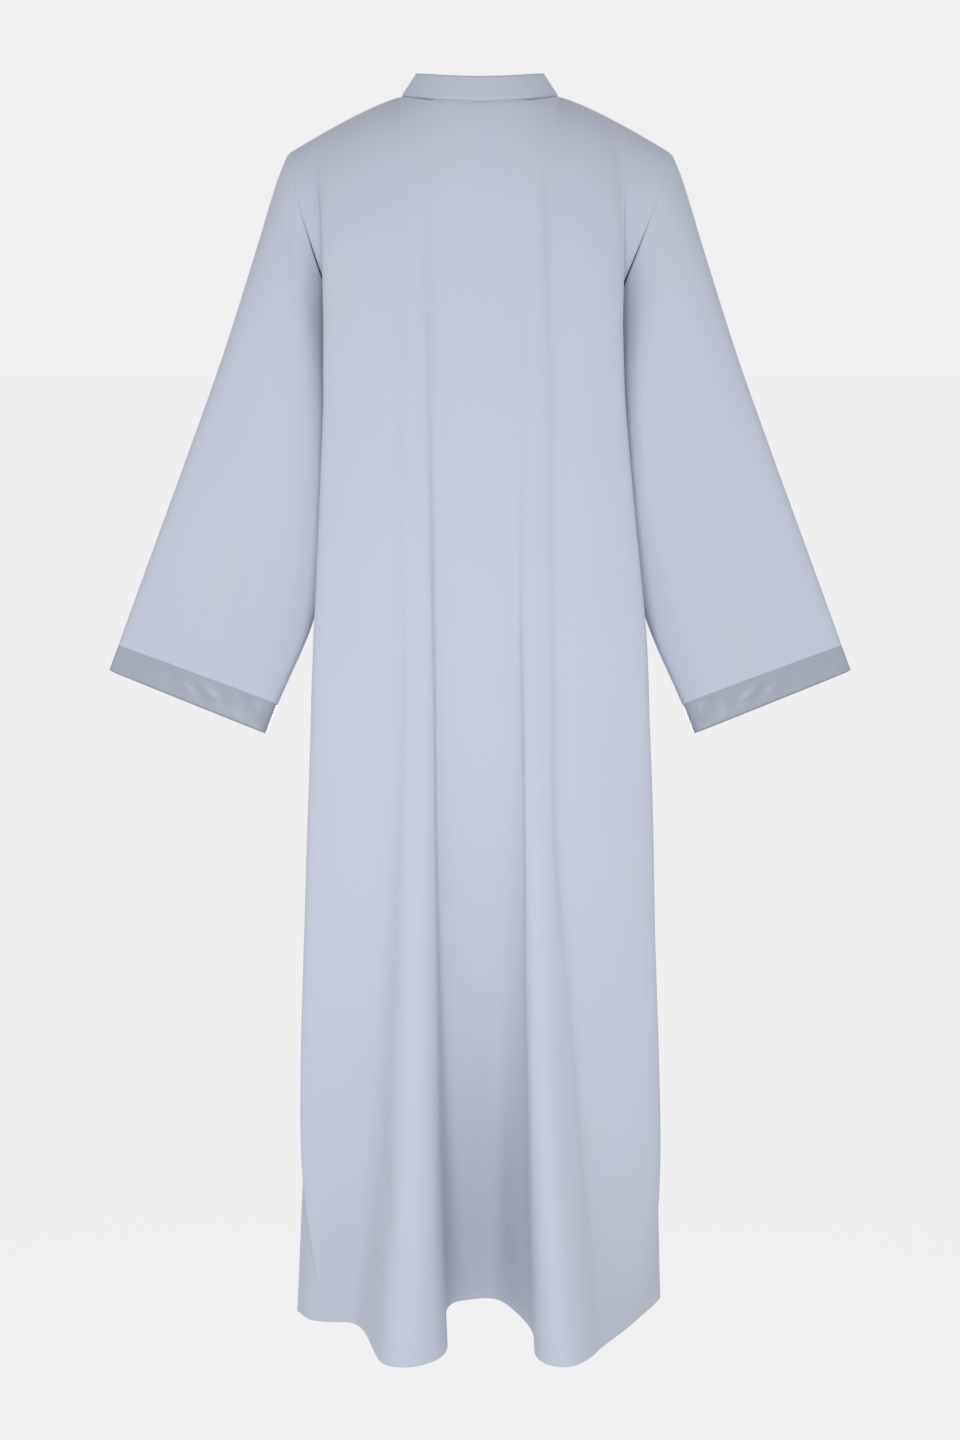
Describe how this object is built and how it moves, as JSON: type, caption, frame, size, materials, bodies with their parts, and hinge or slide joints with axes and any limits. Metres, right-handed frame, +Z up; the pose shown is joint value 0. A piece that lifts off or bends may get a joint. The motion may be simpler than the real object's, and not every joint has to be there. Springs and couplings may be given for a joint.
{
  "type": "abaya",
  "caption": "Full-length open abaya with a stand collar, lapped fronts, wide set-in sleeves and satin cuff bands, worn hollow.",
  "frame": {"origin": "between the two neck ends of the shoulder seams, where the wearer's shoulders carry the garment", "axes": "+Z up, +X towards the wearer's right, +Y the way the wearer faces, so the garment's back faces -Y"},
  "size_m": [0.8556, 0.3856, 1.445],
  "materials": {
    "crepe": "matt crepe, pale cool blue-grey, a fine pebbled face with a soft drape",
    "satin": "satin, a shade darker, smooth and softly glossy"
  },
  "bodies": {
    "root": {"back": "crepe", "front_left": "crepe", "front_right": "crepe", "sleeve_left": "crepe", "sleeve_right": "crepe", "cuff_left": "satin", "cuff_right": "satin", "collar": "crepe"}
  },
  "joints": []
}
